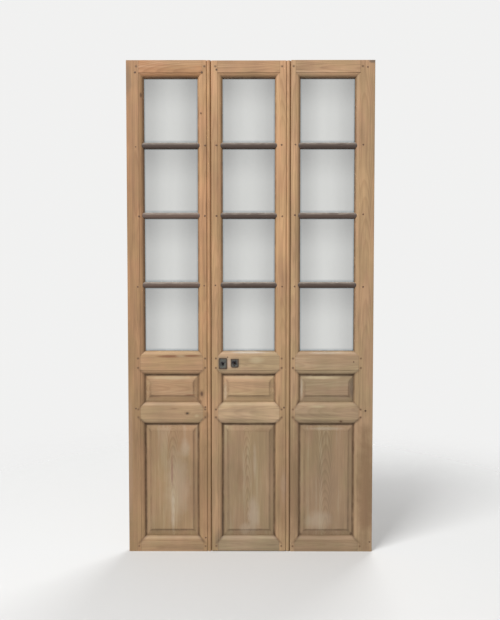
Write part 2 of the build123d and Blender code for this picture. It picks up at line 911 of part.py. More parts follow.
def keeper():
    """The box on the left leaf that takes the bolt."""
    with BuildPart() as box:
        with BuildSketch(upright(leaf_thickness)):
            with Locations((keeper_right - keeper_length / 2, bolt_middle)):
                Rectangle(keeper_length, keeper_height)
        extrude(amount=-lock_case_thickness)
        with BuildSketch(Plane.YZ.offset(keeper_right - pocket_depth)):
            with Locations((at_depth(leaf_thickness + lock_case_thickness / 2), bolt_middle)):
                Rectangle(pocket_thickness, pocket_height)
        extrude(amount=pocket_depth, mode=Mode.SUBTRACT)
    return box.part


def keyhole_plate():
    """The plate around the keyhole on the front."""
    with BuildPart() as plate:
        with BuildSketch(upright(-plate_thickness)):
            with Locations((keyhole_x, lock_height)):
                Rectangle(keyhole_plate_width, keyhole_plate_height)
            chamfer(vertices(), length=plate_corner)
            add(keyhole, mode=Mode.SUBTRACT)
        extrude(amount=-plate_thickness)
    return plate.part


def pull_plate():
    """The back plate of the lost pull: straight above, drawn in a little below."""
    half = pull_plate_width / 2
    low = pull_height - pull_plate_height / 2
    high = pull_height + pull_plate_height / 2
    with BuildPart() as plate:
        with BuildSketch(upright(-plate_thickness)):
            with BuildLine():
                Polyline(
                    (pull_x - half, high),
                    (pull_x + half, high),
                    (pull_x + half, low + pull_plate_taper),
                    (pull_x + half - pull_plate_taper, low),
                    (pull_x - half + pull_plate_taper, low),
                    (pull_x - half, low + pull_plate_taper),
                    close=True,
                )
            make_face()
            with Locations((pull_x, pull_height)):
                Rectangle(pull_hole_width, pull_hole_width, mode=Mode.SUBTRACT)
        extrude(amount=-plate_thickness)
    return plate.part


# Left leaf
keep(stile(left_leaf, "left"), "left_outer_stile")
keep(stile(left_leaf, "right"), "left_meeting_stile")

# Door leaf
keep(door_lock_stile_board(), "door_lock_stile")
keep(hinge_stile_board(door_leaf, "right", "door"), "door_hinge_stile")

# Right leaf
keep(hinge_stile_board(right_leaf, "left", "frame"), "right_meeting_stile")
keep(stile(right_leaf, "right"), "right_outer_stile")

# What the three leaves have alike
for leaf in leaves:
    for rail in rails:
        if leaf is door_leaf and rail == "lock_rail":
            keep(door_lock_rail(), "door_lock_rail")
        else:
            keep(rail_board(leaf, rail), f"{leaf.name}_{rail}")
    for number, z in enumerate(bar_heights, start=1):
        keep(glazing_bar(leaf, z), f"{leaf.name}_glazing_bar_{number}")
    keep(raised_panel(leaf, lower_flats), f"{leaf.name}_lower_panel")
    keep(raised_panel(leaf, frieze_flats), f"{leaf.name}_frieze_panel")
    keep(panes(leaf), f"{leaf.name}_panes")
    keep(glazing_beads(leaf), f"{leaf.name}_glazing_beads")
    keep(pegs(leaf), f"{leaf.name}_pegs")

# Hinges
for number, z in enumerate(hinge_heights, start=1):
    keep(hinge_door_flap(z), f"hinge_{number}_door_flap")
    keep(hinge_fixed_flap(z), f"hinge_{number}_fixed_flap")

# Lock
keep(lock_case(), "lock_case")
keep(lock_cap(), "lock_cap")
keep(lock_bolt(), "lock_bolt")
keep(bolt_spring(), "bolt_spring")
keep(lock_nails(), "lock_nails")
keep(keeper(), "keeper")
keep(keyhole_plate(), "keyhole_plate")
keep(pull_plate(), "pull_plate")
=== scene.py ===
import math
from collections import namedtuple

import bmesh
import bpy
from bpy.props import FloatProperty, FloatVectorProperty, PointerProperty
from mathutils import Euler, Matrix, Vector


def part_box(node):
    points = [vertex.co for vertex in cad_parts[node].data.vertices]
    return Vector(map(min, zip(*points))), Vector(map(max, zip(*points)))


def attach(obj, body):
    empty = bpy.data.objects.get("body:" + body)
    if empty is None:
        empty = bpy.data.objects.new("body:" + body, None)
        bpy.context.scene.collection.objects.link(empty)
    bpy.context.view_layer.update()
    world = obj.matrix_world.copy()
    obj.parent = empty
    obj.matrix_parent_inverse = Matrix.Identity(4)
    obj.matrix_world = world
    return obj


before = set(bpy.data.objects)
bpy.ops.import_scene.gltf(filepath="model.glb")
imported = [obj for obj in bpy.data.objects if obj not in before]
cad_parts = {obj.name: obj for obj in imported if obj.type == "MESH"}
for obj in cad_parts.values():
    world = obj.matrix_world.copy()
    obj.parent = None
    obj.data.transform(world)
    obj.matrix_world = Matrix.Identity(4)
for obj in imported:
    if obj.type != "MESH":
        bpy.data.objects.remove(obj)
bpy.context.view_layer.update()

bl_info = {
    "name": "Glazed pine door with sidelights",
    "version": (1, 0, 0),
    "blender": (4, 5, 0),
    "location": "3D View > Sidebar > Pine door",
    "description": "Finishes and small pieces for a row of three old pine leaves",
    "category": "Object",
}

leaf_names = ("left", "door", "right")


# Shader sockets with arithmetic

class Value:
    """A number or colour that comes out of a shader node, with arithmetic on numbers."""

    def __init__(self, nodes, socket):
        self.nodes = nodes
        self.socket = socket

    def worked(self, operation, *values):
        sockets = dict(enumerate(values))
        return self.nodes.node("ShaderNodeMath", {"operation": operation}, sockets)

    def __add__(self, other):
        return self.worked("ADD", self, other)

    __radd__ = __add__

    def __sub__(self, other):
        return self.worked("SUBTRACT", self, other)

    def __rsub__(self, other):
        return self.worked("SUBTRACT", other, self)

    def __mul__(self, other):
        return self.worked("MULTIPLY", self, other)

    def __truediv__(self, other):
        return self.worked("DIVIDE", self, other)

    def __abs__(self):
        return self.worked("ABSOLUTE", self)

    def most(self, other):
        return self.worked("MAXIMUM", self, other)


class Nodes:
    """A node tree in the making."""

    def __init__(self, tree):
        self.tree = tree

    def node(self, kind, settings=None, sockets=None, output=0):
        """Adds a node, sets it, then fills its sockets with numbers, colours or links."""
        made = self.tree.nodes.new(kind)
        for setting, value in (settings or {}).items():
            setattr(made, setting, value)
        for place, value in (sockets or {}).items():
            if isinstance(value, Value):
                self.tree.links.new(value.socket, made.inputs[place])
            else:
                made.inputs[place].default_value = value
        return Value(self, made.outputs[output]) if made.outputs else None


class Finish(Nodes):
    """A material in the making."""

    def __init__(self, name, **constants):
        self.material = bpy.data.materials.new(name)
        self.material.use_nodes = True
        super().__init__(self.material.node_tree)
        self.shader = self.tree.nodes["Principled BSDF"]
        for socket, value in constants.items():
            self.shader.inputs[socket.replace("_", " ")].default_value = value

    def give(self, socket, value):
        """Feeds one of the shader's own sockets."""
        self.tree.links.new(value.socket, self.shader.inputs[socket])

    def smooth(self, value, low, high):
        """Rises smoothly from 0 where the value is low to 1 where it is high."""
        return self.node(
            "ShaderNodeMapRange", {"interpolation_type": "SMOOTHSTEP"}, {0: value, 1: low, 2: high}
        )

    def mix(self, amount, first, second, way="MIX"):
        """Mixes two colours."""
        settings = {"data_type": "RGBA", "blend_type": way, "clamp_factor": True}
        return self.node("ShaderNodeMix", settings, {0: amount, 6: first, 7: second}, output=2)

    def grey(self, value):
        """A grey colour of that brightness."""
        return self.node("ShaderNodeCombineColor", {}, {0: value, 1: value, 2: value})

    def point(self, x, y, z):
        """A vector from three numbers."""
        return self.node("ShaderNodeCombineXYZ", {}, {0: x, 1: y, 2: z})

    def length(self, across, up):
        """How far a point lies from zero, from its two coordinates."""
        place = self.point(across, up, 0.0)
        return self.node("ShaderNodeVectorMath", {"operation": "LENGTH"}, {0: place}, "Value")

    def parts(self, vector):
        """The three numbers of a vector."""
        first = self.node("ShaderNodeSeparateXYZ", {}, {0: vector})
        return [Value(self, socket) for socket in first.socket.node.outputs]

    def places(self):
        """The three coordinates of a point, in metres in the row's own frame."""
        return self.parts(self.node("ShaderNodeTexCoord", output="Object"))

    def facing(self):
        """The three parts of the direction that the surface faces."""
        return self.parts(self.node("ShaderNodeNewGeometry", output="Normal"))

    def noise(self, place, detail=2.0, roughness=0.5):
        """Smooth noise from 0 to 1, at a scale of one to a unit."""
        sockets = {"Vector": place, "Scale": 1.0, "Detail": detail, "Roughness": roughness}
        return self.node("ShaderNodeTexNoise", {"noise_dimensions": "3D"}, sockets)

    def grains(self, place, scale, detail=3.0, roughness=0.6):
        """Noise that is alike in all directions, with about that many grains to a metre."""
        x, y, z = place
        return self.noise(self.point(x * scale, y * scale, z * scale), detail, roughness)

    def bump(self, height, distance):
        """Raises the surface by that height times the distance."""
        sockets = {"Height": height, "Distance": distance}
        self.give("Normal", self.node("ShaderNodeBump", {}, sockets))

    def fade(self, amount):
        """Lets the finish fade out to nothing by that amount."""
        clear = self.node("ShaderNodeBsdfTransparent")
        shown = Value(self, self.shader.outputs[0])
        faded = self.node("ShaderNodeMixShader", {}, {0: amount, 1: shown, 2: clear})
        self.tree.links.new(faded.socket, self.tree.nodes["Material Output"].inputs["Surface"])


def beyond(value, low, high):
    """How far a number lies outside a span. Inside, it is below zero."""
    return abs(value - (low + high) / 2) - (high - low) / 2


def opaque(colour, factor=1.0):
    """A colour as four numbers, made lighter or darker by a factor."""
    return (*[min(1.0, part * factor) for part in colour[:3]], 1.0)


def toned(colour, tone):
    """A colour made lighter and warmer, by two factors."""
    light, warm = tone
    return [part * share for part, share in zip(colour, (light * warm, light, light / warm))]


# Sizes and colours that a user may change

class PineSettings(bpy.types.PropertyGroup):
    """Old stripped pine of the frames and panels."""

    light: FloatVectorProperty(
        name="Light wood", description="Colour between the rings, high on the leaves",
        default=(0.475, 0.275, 0.145), subtype="COLOR", min=0, max=1,
    )
    ring: FloatVectorProperty(
        name="Ring", description="Colour of the dark side of a ring",
        default=(0.27, 0.135, 0.062), subtype="COLOR", min=0, max=1,
    )
    # Painted shade: the colour that the wood darkens and greys to towards the floor
    low_shade: FloatVectorProperty(
        name="Aged wood", description="Colour that the wood has greyed to near the floor",
        default=(0.355, 0.245, 0.142), subtype="COLOR", min=0, max=1,
    )
    pale: FloatVectorProperty(
        name="Bleached wood", description="Colour of the streaks that scrubbing has bleached",
        default=(0.52, 0.43, 0.31), subtype="COLOR", min=0, max=1,
    )
    # Old finish in the hollows, and painted shade on faces turned from the front
    hollow_and_shade: FloatVectorProperty(
        name="Hollows", description="Colour of the old finish left on the mouldings",
        default=(0.115, 0.062, 0.028), subtype="COLOR", min=0, max=1,
    )
    # Dirt in the seams, and painted shade along the openings, the raised fields and the mitres
    dirt_and_shade: FloatVectorProperty(
        name="DirtAndShade", description="Colour of the dirt in the corners of the mouldings",
        default=(0.095, 0.050, 0.023), subtype="COLOR", min=0, max=1,
    )
    spacing: FloatProperty(
        name="Ring spacing", description="Distance from ring to ring",
        default=0.0042, min=0.001, max=0.02, unit="LENGTH",
    )
    relief: FloatProperty(
        name="Grain relief", description="Height of the ridges that scrubbing has left",
        default=0.0003, min=0, max=0.002, unit="LENGTH",
    )


class BarSettings(bpy.types.PropertyGroup):
    """Dark, dusty pine of the glazing bars, with a painted highlight on their upper edges."""

    wood: FloatVectorProperty(
        name="Bar wood", description="Colour of the bars where they face down or forward",
        default=(0.062, 0.040, 0.030), subtype="COLOR", min=0, max=1,
    )
    # Painted highlight, with dust, on the upper edges of the bars
    upper_dust_and_highlight: FloatVectorProperty(
        name="Dust", description="Colour of the worn and dusty upper edges",
        default=(0.36, 0.305, 0.25), subtype="COLOR", min=0, max=1,
    )


class GlassSettings(bpy.types.PropertyGroup):
    """Thin old window glass."""

    tint: FloatVectorProperty(
        name="Glass", description="Colour of the clean middle of a pane",
        default=(0.74, 0.745, 0.73), subtype="COLOR", min=0, max=1,
    )
    film: FloatVectorProperty(
        name="Film", description="Colour of the film of dirt along the edges of a pane",
        default=(0.30, 0.34, 0.36), subtype="COLOR", min=0, max=1,
    )
    # Painted shade on the panes, spreading in from the sides and down from the bars
    pane_shade: FloatVectorProperty(
        name="Haze", description="Colour of the thin haze that spreads in from the sides",
        default=(0.42, 0.42, 0.415), subtype="COLOR", min=0, max=1,
    )
    film_width: FloatProperty(
        name="Film width", description="How far the film reaches in from the edge of a pane",
        default=0.012, min=0.001, max=0.1, unit="LENGTH",
    )


class MetalSettings(bpy.types.PropertyGroup):
    """Iron of the lock and hinges, and the worn plates on the front."""

    iron: FloatVectorProperty(
        name="Iron", description="Colour of the blackened iron",
        default=(0.045, 0.042, 0.04), subtype="COLOR", min=0, max=1,
    )
    rust: FloatVectorProperty(
        name="Rust", description="Colour of the rust on the iron",
        default=(0.13, 0.055, 0.025), subtype="COLOR", min=0, max=1,
    )
    plate: FloatVectorProperty(
        name="Plate", description="Colour of the worn plates on the front",
        default=(0.105, 0.108, 0.095), subtype="COLOR", min=0, max=1,
    )
    plate_dark: FloatVectorProperty(
        name="Dark of a plate", description="Colour of a plate around its hole",
        default=(0.018, 0.013, 0.017), subtype="COLOR", min=0, max=1,
    )


class StageSettings(bpy.types.PropertyGroup):
    """Floor, background, lamps and camera."""

    floor: FloatVectorProperty(
        name="Floor", description="Colour of the floor",
        default=(0.60, 0.60, 0.595), subtype="COLOR", min=0, max=1,
    )
    background: FloatVectorProperty(
        name="Background", description="Colour behind the leaves",
        default=(0.88, 0.88, 0.875), subtype="COLOR", min=0, max=1,
    )
    fill: FloatProperty(
        name="Fill", description="Strength of the even light from all round",
        default=0.38, min=0, max=3,
    )
    key: FloatProperty(
        name="Key", description="Power of the large lamp above and in front",
        default=1500.0, min=0, max=6000, unit="POWER",
    )
    back: FloatProperty(
        name="Back", description="Power of the large lamp above and behind",
        default=650.0, min=0, max=6000, unit="POWER",
    )
    distance: FloatProperty(
        name="Camera distance", description="From the camera to the middle of the leaves",
        default=4.018, min=1, max=20, unit="LENGTH",
    )
    height: FloatProperty(
        name="Camera height", description="Height of the camera above the floor",
        default=1.483, min=0, max=5, unit="LENGTH",
    )
    lens: FloatProperty(
        name="Lens", description="Focal length, for a sensor whose long side is 36 mm",
        default=43.97, min=10, max=200, unit="CAMERA",
    )


settings_of = {
    "door_pine": PineSettings,
    "door_bars": BarSettings,
    "door_glass": GlassSettings,
    "door_metal": MetalSettings,
    "door_stage": StageSettings,
}


# Pine

# Colours of the marks of wear, some of them also painted highlights on faces that look up
knot_brown = (0.075, 0.032, 0.015)
knot_black = (0.030, 0.016, 0.010)
stain_brown = (0.19, 0.105, 0.05)
stain_red = (0.18, 0.062, 0.026)
# Painted highlight, with dust, on mouldings and margins that face up
dust_and_highlight = (0.50, 0.45, 0.37)
bleach = (0.50, 0.42, 0.33)
grime_grey = (0.085, 0.070, 0.055)
worn_pink = (0.52, 0.38, 0.29)
# Pale wear, and painted highlight on upper margins that face up
pale_wear_and_highlight = (0.52, 0.42, 0.26)

# A soft spot: its middle, its two radii, its colour and how strongly it covers
Mark = namedtuple("Mark", "x z width height colour amount")

# Dirt and painted shade along the edges of a rectangle: its left and right, its bottom and top,
# how far the painted shade on the mitres reaches outwards, and how dark it is above, beside, below
# and on the mitres
DirtAndShade = namedtuple("DirtAndShade", "sides heights reach above beside below mitre")

# A mark this strong is a knot. It pushes the rings aside, out to a multiple of its own radii
knot_amount = 0.8
knot_push = 0.012
knot_swell = 2.4

# Widths, in metres, of the dirt and painted shade along an edge and of the painted shade on a
# mitre, and of the bead at a leaf's edge
dirt_and_shade_width = 0.011
mitre_shade_width = 0.018
bead_reach = 0.024

# How often the pine's patterns repeat in a metre, across the grain and along it
fibre_scale = (420.0, 9.0)
vein_scale = (75.0, 3.0)
band_scale = (22.0, 2.2)
hue_scale = (11.0, 4.5)
bend_scale = (9.0, 3.3)
drift_scale = (3.0, 1.1)

# The same for patterns that don't follow the grain: in all directions, and across and up
cloud_scale = 16.0
blotch_scale = (4.5, 2.6)

# How far the rings wander across a board and through it, and how far they bend, in metres
drift_across = 0.09
drift_through = 0.06
bend_reach = 0.005

# Where along a board, in metres, its rings lie as deep as its heart says
lean_from = 1.2

# Where in a ring its dark side starts and where it is darkest, as parts of the ring
ring_start = 0.30
ring_peak = 0.85

# The heights between which the painted shade, darker and greyer towards the floor, fades out, and
# the depths between which what lies on the front does
low_shade_heights = (0.1, 2.0)
front_depths = (0.002, 0.006)

# The seam between a stile and a rail: its width in metres, and how dark it is
seam_width = 0.004
seam_dark = 0.35


def stained(finish, colour, x, z, front, marks, uneven):
    """Lays soft spots on a colour.

    A knot goes through the board and has a brown ring around it. All other spots lie on the front.
    """
    for mark in marks:
        reach = finish.length((x - mark.x) / mark.width, (z - mark.z) / mark.height)
        reach = reach + (uneven - 0.5) * 0.9
        spot = (1 - finish.smooth(reach, 0.3, 1.15)) * mark.amount
        if mark.amount >= knot_amount:
            halo = 1 - finish.smooth(reach, 0.7, 2.2)
            colour = finish.mix(halo * 0.45, colour, opaque(stain_brown))
        else:
            spot = spot * front
        colour = finish.mix(spot, colour, opaque(mark.colour))
    return colour


def shade_and_grime(finish, colour, x, z, front, holes, uneven):
    """Lays dirt and painted shade on a colour along the edges of rectangles, and painted shade on
    their mitres at the front.
    """
    dirt_and_shade = opaque(bpy.context.scene.door_pine.dirt_and_shade)
    for hole in holes:
        middle = sum(hole.heights) / 2
        sideways = beyond(x, *hole.sides)
        upright = beyond(z, *hole.heights)
        edge = sideways.most(upright)
        upper = finish.smooth(z, middle - 0.01, middle + 0.01)
        level = finish.smooth(upright - sideways, -0.004, 0.004)
        ends = hole.below - hole.beside + upper * (hole.above - hole.below)
        strength = hole.beside + level * ends
        # Painted shade with dirt along each edge, and painted shade of the mouldings on the mitres
        line = 1 - finish.smooth(abs(edge), 0.001, dirt_and_shade_width)
        corner = 1 - finish.smooth(abs(sideways - upright), 0.0, mitre_shade_width)
        near = 1 - finish.smooth(abs(edge - hole.reach / 2), hole.reach * 0.3, hole.reach * 0.75)
        lines = line * strength * (0.35 + front * 0.65) + corner * near * hole.mitre * front
        colour = finish.mix(lines * (uneven * 2.2 - 0.25), colour, dirt_and_shade)
    return colour


def pine(
    name, along, middle, tone=(1.0, 1.0), lean=0.02, heart=0.05, rings=0.5, pale=0.0,
    streaks=1.0, old=1.0, marks=(), holes=(), joints=(), bead_edge=None, seed=0.0,
):
    """Old pine with rings, fibres, knots, stains, dirt and painted shade, its grain running up or
    across.

    middle is the board's middle across the grain, and tone how light and how warm it is. lean
    is how fast its rings run out along it, heart how far in front of it the middle of the trunk
    lies, rings how strongly they show, pale how much of it is bleached, streaks how uneven it
    is along the grain, and old how much old finish and painted shade its mouldings get. marks
    are its soft spots, holes the rectangles along whose edges dirt and painted shade are laid,
    and joints the places of its upright seams. Then comes the leaf's edge beside it, whose bead
    gets neither old finish nor painted shade.
    """
    wood = bpy.context.scene.door_pine
    finish = Finish(name, Roughness=0.62)
    x, y, z = finish.places()
    across, run = (x - middle, z) if along == "Z" else (z - middle, x)
    marks = [Mark(*mark) for mark in marks]

    def drawn_out(scale, shift=0.0):
        """Noise that is drawn out along the grain."""
        wide, long = scale
        return finish.noise(finish.point(across * wide, y * wide, run * long + shift), 3.0, 0.6)

    # The trunk's rings, which wander a little and bend round the knots
    wide, long = drift_scale
    drift = finish.noise(finish.point(across * wide, run * long + seed, seed), 1.0) - 0.5
    wide, long = bend_scale
    bent = finish.noise(finish.point(across * wide, run * long, seed + 4.0)) - 0.5
    depth = y + heart + (run - lean_from) * lean + drift * drift_through
    trunk = finish.length(across + drift * drift_across, depth)
    for knot in marks:
        if knot.amount >= knot_amount:
            wide, high = knot.width * knot_swell, knot.height * knot_swell
            near = finish.length((x - knot.x) / wide, (z - knot.z) / high)
            trunk = trunk + (1 - finish.smooth(near, 0.0, 1.0)) * knot_push
    turns = finish.node(
        "ShaderNodeMath", {"operation": "FRACT"}, {0: (trunk + bent * bend_reach) / wood.spacing}
    )
    late = finish.smooth(turns, ring_start, ring_peak)
    late = late * (1 - finish.smooth(turns, ring_peak, 1.0))

    fibre = drawn_out(fibre_scale)
    vein = drawn_out(vein_scale, seed)
    band = drawn_out(band_scale, -seed)
    scale = cloud_scale
    uneven = finish.noise(finish.point(x * scale, y * scale, z * scale + seed), 3.0, 0.6)
    wide, long = hue_scale
    hue = finish.noise(finish.point(across * wide, seed + 9.0, run * long), 3.0, 0.6)
    wide, high = blotch_scale
    blotch = finish.noise(finish.point(x * wide, seed, z * high), 3.0, 0.6)

    # Clean wood, paler where it is scrubbed, with painted shade darker and greyer towards the
    # floor
    bleached = finish.smooth(band + (vein - 0.5) * 0.8, 0.50, 0.72) * pale
    colour = finish.mix(bleached, opaque(toned(wood.light, tone)), opaque(wood.pale, tone[0]))
    colour = finish.mix(late * rings, colour, opaque(toned(wood.ring, tone)))
    low = 1 - finish.smooth(z, *low_shade_heights)
    colour = finish.mix(low * 0.6, colour, opaque(toned(wood.low_shade, tone)))
    hue = finish.smooth(hue, 0.36, 0.64)
    cast = finish.mix(hue, (0.97, 1.01, 0.93, 1), (1.03, 1.00, 0.98, 1))
    colour = finish.mix(1.0, colour, cast, "MULTIPLY")
    streak = (fibre - 0.5) * 0.5 + (vein - 0.5) * 0.55 + (band - 0.5) * 0.5
    shade = 1.0 + streak * streaks + (blotch - 0.5) * 0.7
    colour = finish.mix(1.0, colour, finish.grey(shade), "MULTIPLY")

    # Old finish and painted shade on what slopes, then dirt and painted shade, then marks
    _, turned_y, turned_z = finish.facing()
    slope = finish.smooth(1 - abs(turned_y), 0.04, 0.60)
    if bead_edge is not None:
        slope = slope * finish.smooth(abs(x - bead_edge), bead_reach, bead_reach + 0.004)
    # Painted shade with old finish: faces turned from the front get darker, the more so facing
    # down
    finish_and_shade = slope * (0.50 - turned_z * 0.42) * (0.45 + uneven * 1.1) * old
    colour = finish.mix(finish_and_shade, colour, opaque(wood.hollow_and_shade))
    front = 1 - finish.smooth(y, *front_depths)
    colour = shade_and_grime(finish, colour, x, z, front, holes, uneven)
    for joint in joints:
        seam = 1 - finish.smooth(abs(x - joint), 0.0, seam_width)
        seam = seam * (0.4 + uneven * 1.2) * seam_dark
        colour = finish.mix(seam, colour, opaque(wood.dirt_and_shade))
    colour = stained(finish, colour, x, z, front, marks, uneven)
    finish.give("Base Color", colour)
    finish.give("Roughness", 0.50 + fibre * 0.16 + late * 0.08)
    finish.bump(late * 0.5 + fibre * 0.6, wood.relief)
    return finish.material


def dress(node, material):
    """Gives a CAD node its finish."""
    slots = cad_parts[node].data.materials
    slots.clear()
    slots.append(material)


def middle_of(node, axis):
    """The middle of a node along one axis."""
    low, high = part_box(node)
    return (low[axis] + high[axis]) / 2


# Sizes that the row's own frame doesn't give, in metres
moulding = 0.026
lower_sight = (0.082, 0.686)
frieze_sight = (0.805, 0.950)
field_side = 0.028
field_end = 0.035
field_lip = 0.002
glass_lap = 0.009
bar_half = 0.016
peg_setback = 0.011
peg_stain = (0.009, 0.008)
peg_heights = (0.028, 0.7245, 0.7665, 0.989, 1.039, 2.568)


def sight(leaf):
    """The sight edges left and right of a leaf's openings."""
    low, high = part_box(f"{leaf}_panes")
    return low.x + glass_lap, high.x - glass_lap


def pane_heights():
    """The bottom and top of the sight of each row of panes."""
    bars = [middle_of(f"door_glazing_bar_{place}", 2) for place in (1, 2, 3)]
    low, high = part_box("door_panes")
    edges = [low.z + glass_lap]
    for middle in bars:
        edges += [middle - bar_half, middle + bar_half]
    edges.append(high.z - glass_lap)
    return list(zip(edges[::2], edges[1::2]))


def openings_of(leaf):
    """The dirt and painted shade around a leaf's three openings, from the bottom up."""
    panes = pane_heights()
    sides = sight(leaf)
    return [
        DirtAndShade(sides, lower_sight, reach=0.040, above=0.95, beside=0.80, below=0.12, mitre=0.50),
        DirtAndShade(sides, frieze_sight, reach=0.036, above=0.85, beside=0.50, below=0.10, mitre=0.36),
        DirtAndShade(
            sides, (panes[0][0], panes[-1][1]), reach=0.020,
            above=0.70, beside=0.55, below=0.15, mitre=0.12,
        ),
    ]


def field_of(leaf, heights):
    """The painted shade along the edge of a panel's raised field."""
    left, right = sight(leaf)
    side = field_side - field_lip
    end = field_end - field_lip
    sides = (left + side, right - side)
    ends = (heights[0] + end, heights[1] - end)
    return DirtAndShade(sides, ends, reach=0.010, above=0.05, beside=0.28, below=0.40, mitre=0.20)


# The marks of wear on each board, some of them painted highlights. A mark of at least knot_amount
# is a knot
board_marks = {
    "left_outer_stile": [
        (-0.640, 2.500, 0.022, 0.110, grime_grey, 0.35),
        (-0.574, 2.421, 0.007, 0.015, knot_brown, 0.75),
        (-0.640, 0.500, 0.014, 0.420, worn_pink, 0.20),
        (-0.616, 2.020, 0.010, 0.500, stain_brown, 0.35),
        (-0.610, 0.340, 0.060, 0.420, stain_brown, 0.20),
    ],
    "left_meeting_stile": [
        (-0.260, 0.850, 0.009, 0.014, knot_brown, 0.85),
        (-0.266, 0.806, 0.010, 0.016, knot_brown, 0.55),
        (-0.236, 0.735, 0.016, 0.022, stain_brown, 0.45),
        (-0.240, 0.340, 0.060, 0.420, stain_brown, 0.40),
    ],
    "left_middle_rail": [
        (-0.336, 0.746, 0.011, 0.008, knot_black, 0.9),
        (-0.286, 0.732, 0.014, 0.010, pale_wear_and_highlight, 0.35),
        (-0.405, 0.770, 0.030, 0.004, stain_brown, 0.50),
    ],
    "left_lock_rail": [
        (-0.430, 1.050, 0.085, 0.009, stain_red, 0.75),
        (-0.310, 1.053, 0.060, 0.007, stain_red, 0.75),
        (-0.372, 1.051, 0.030, 0.007, pale_wear_and_highlight, 0.35),
    ],
    "left_frieze_panel": [
        (-0.322, 0.843, 0.036, 0.005, stain_red, 0.55),
        # Painted highlight on the upper margin, which faces up
        (-0.419, 0.934, 0.135, 0.010, pale_wear_and_highlight, 0.45),
    ],
    "left_lower_panel": [
        (-0.420, 0.430, 0.007, 0.110, stain_red, 0.78),
        (-0.416, 0.210, 0.012, 0.140, bleach, 0.38),
        (-0.395, 0.360, 0.075, 0.230, bleach, 0.25),
        (-0.350, 0.560, 0.030, 0.060, bleach, 0.30),
    ],
    "left_bottom_rail": [(-0.480, 0.020, 0.035, 0.012, stain_brown, 0.30)],
    "door_lock_stile": [
        (-0.172, 0.060, 0.022, 0.060, grime_grey, 0.35),
        (-0.150, 0.150, 0.006, 0.080, grime_grey, 0.45),
    ],
    "door_lock_rail": [
        (-0.146, 1.010, 0.040, 0.044, grime_grey, 0.60),
        (-0.084, 1.014, 0.036, 0.038, grime_grey, 0.50),
        (-0.114, 1.013, 0.014, 0.036, worn_pink, 0.70),
        (0.030, 1.030, 0.045, 0.020, pale_wear_and_highlight, 0.50),
        # Painted highlight, with dust, along the upper moulding
        (-0.010, 1.071, 0.130, 0.007, dust_and_highlight, 0.65),
    ],
    "door_frieze_panel": [
        # Painted highlight on the upper margin, which faces up
        (-0.010, 0.936, 0.135, 0.009, pale_wear_and_highlight, 0.35),
        (-0.134, 0.860, 0.010, 0.060, bleach, 0.30),
    ],
    "door_hinge_stile": [
        (0.152, 0.800, 0.006, 0.090, stain_brown, 0.60),
        (0.178, 0.360, 0.020, 0.100, worn_pink, 0.30),
        (0.172, 0.170, 0.016, 0.090, stain_red, 0.20),
        (0.180, 0.340, 0.060, 0.400, stain_brown, 0.36),
    ],
    "door_lower_panel": [
        (0.014, 0.190, 0.034, 0.120, bleach, 0.36),
        (-0.030, 0.120, 0.034, 0.045, bleach, 0.22),
        (-0.056, 0.400, 0.020, 0.110, stain_brown, 0.35),
        (0.022, 0.480, 0.010, 0.110, bleach, 0.24),
        (0.060, 0.655, 0.050, 0.016, stain_brown, 0.35),
    ],
    "right_meeting_stile": [
        (0.247, 0.716, 0.009, 0.013, knot_brown, 0.85),
        (0.252, 0.790, 0.010, 0.030, knot_brown, 0.50),
        (0.230, 0.340, 0.050, 0.400, stain_brown, 0.55),
    ],
    "right_middle_rail": [
        (0.481, 0.702, 0.009, 0.007, knot_brown, 0.85),
        # Painted highlight on the upper moulding
        (0.360, 0.782, 0.060, 0.008, pale_wear_and_highlight, 0.45),
    ],
    # Painted highlight, with dust, along the upper moulding
    "right_lock_rail": [(0.405, 1.068, 0.120, 0.007, dust_and_highlight, 0.35)],
    "right_frieze_panel": [
        (0.540, 0.880, 0.018, 0.070, grime_grey, 0.45),
        # Painted highlight on the upper margin, which faces up
        (0.375, 0.936, 0.110, 0.010, pale_wear_and_highlight, 0.65),
        (0.272, 0.880, 0.008, 0.060, dust_and_highlight, 0.35),
    ],
    "right_lower_panel": [
        (0.372, 0.420, 0.010, 0.120, stain_brown, 0.40),
        (0.360, 0.170, 0.080, 0.060, bleach, 0.30),
        # Painted highlight on the upper margin, which faces up
        (0.405, 0.662, 0.110, 0.010, dust_and_highlight, 0.20),
        (0.540, 0.092, 0.010, 0.010, knot_brown, 0.60),
        (0.269, 0.090, 0.008, 0.008, knot_brown, 0.40),
        (0.400, 0.330, 0.110, 0.260, grime_grey, 0.14),
    ],
    "right_outer_stile": [
        (0.636, 2.593, 0.026, 0.013, grime_grey, 0.7),
        (0.615, 0.350, 0.060, 0.420, stain_brown, 0.75),
    ],
}

# How light and how warm each board is
board_tones = {
    "left_outer_stile": (0.75, 1.05),
    "left_meeting_stile": (0.90, 1.05),
    "door_lock_stile": (0.95, 1.00),
    "door_hinge_stile": (0.95, 1.00),
    "right_meeting_stile": (1.00, 0.95),
    "right_outer_stile": (0.90, 0.95),
    "left_top_rail": (0.75, 1.15),
    "door_top_rail": (0.85, 1.00),
    "right_top_rail": (0.90, 0.95),
    "left_lock_rail": (0.95, 1.00),
    "door_lock_rail": (1.10, 0.90),
    "right_lock_rail": (0.95, 0.90),
    "left_frieze_panel": (0.85, 1.00),
    "door_frieze_panel": (1.10, 0.95),
    "right_frieze_panel": (0.80, 0.90),
    "left_middle_rail": (0.95, 0.95),
    "door_middle_rail": (1.20, 0.90),
    "right_middle_rail": (0.90, 0.90),
    "left_lower_panel": (0.85, 1.00),
    "door_lower_panel": (0.80, 0.95),
    "right_lower_panel": (0.75, 0.95),
    "left_bottom_rail": (0.85, 1.00),
    "door_bottom_rail": (0.80, 0.90),
    "right_bottom_rail": (0.70, 0.95),
}

